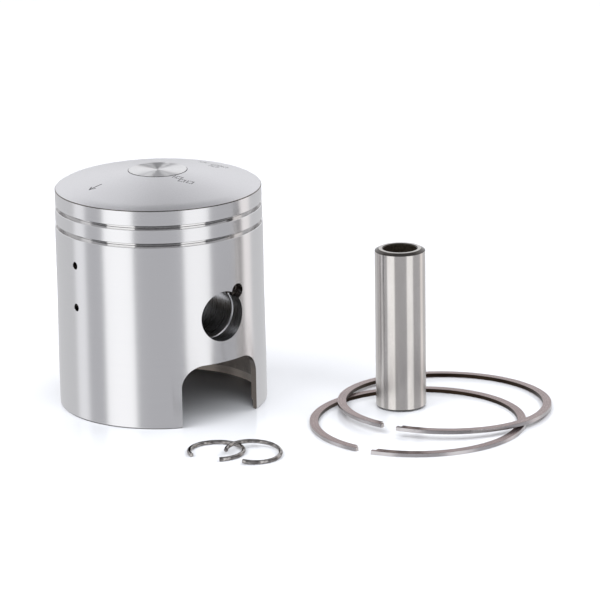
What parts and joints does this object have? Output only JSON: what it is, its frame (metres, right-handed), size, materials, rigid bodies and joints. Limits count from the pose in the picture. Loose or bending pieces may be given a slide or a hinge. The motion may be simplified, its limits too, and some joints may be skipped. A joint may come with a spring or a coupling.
{
  "type": "piston",
  "caption": "Round two-stroke piston with ring grooves, pin bore and cut-away skirt, laid out beside its hollow wrist pin, split rings and wire circlips.",
  "frame": {"origin": "centre of the piston's wrist pin bore, on the piston's own axis", "axes": "+Z along the piston's axis towards the crown, +Y along the wrist pin bore, +X towards the exhaust side, which the crown's arrow points to"},
  "size_m": [0.1283, 0.1412, 0.0758],
  "materials": {
    "piston_alloy": "fine turned outside, as cast inside",
    "pin_steel": "ground and polished",
    "ring_iron": "ground faces, dark bore",
    "spring_steel": "dark oiled wire",
    "peg_steel": "plain"
  },
  "bodies": {
    "piston": {"piston_body": "piston_alloy", "top_ring_peg": "peg_steel", "second_ring_peg": "peg_steel"},
    "wrist_pin": {"wrist_pin": "pin_steel"},
    "top_ring": {"top_ring": "ring_iron"},
    "second_ring": {"second_ring": "ring_iron"},
    "front_circlip": {"front_circlip": "spring_steel"},
    "rear_circlip": {"rear_circlip": "spring_steel"}
  },
  "joints": [
    {"name": "wrist_pin_lift", "type": "slide", "parent": "piston", "child": "wrist_pin", "axis": [0, 0, 1], "range_m": [0, 0.08]},
    {"name": "top_ring_lift", "type": "slide", "parent": "piston", "child": "top_ring", "axis": [0, 0, 1], "range_m": [0, 0.08]},
    {"name": "second_ring_lift", "type": "slide", "parent": "top_ring", "child": "second_ring", "axis": [0, 0, 1], "range_m": [0, 0.08]},
    {"name": "front_circlip_lift", "type": "slide", "parent": "piston", "child": "front_circlip", "axis": [0, 0, 1], "range_m": [0, 0.08]},
    {"name": "rear_circlip_lift", "type": "slide", "parent": "front_circlip", "child": "rear_circlip", "axis": [0, 0, 1], "range_m": [0, 0.08]}
  ]
}
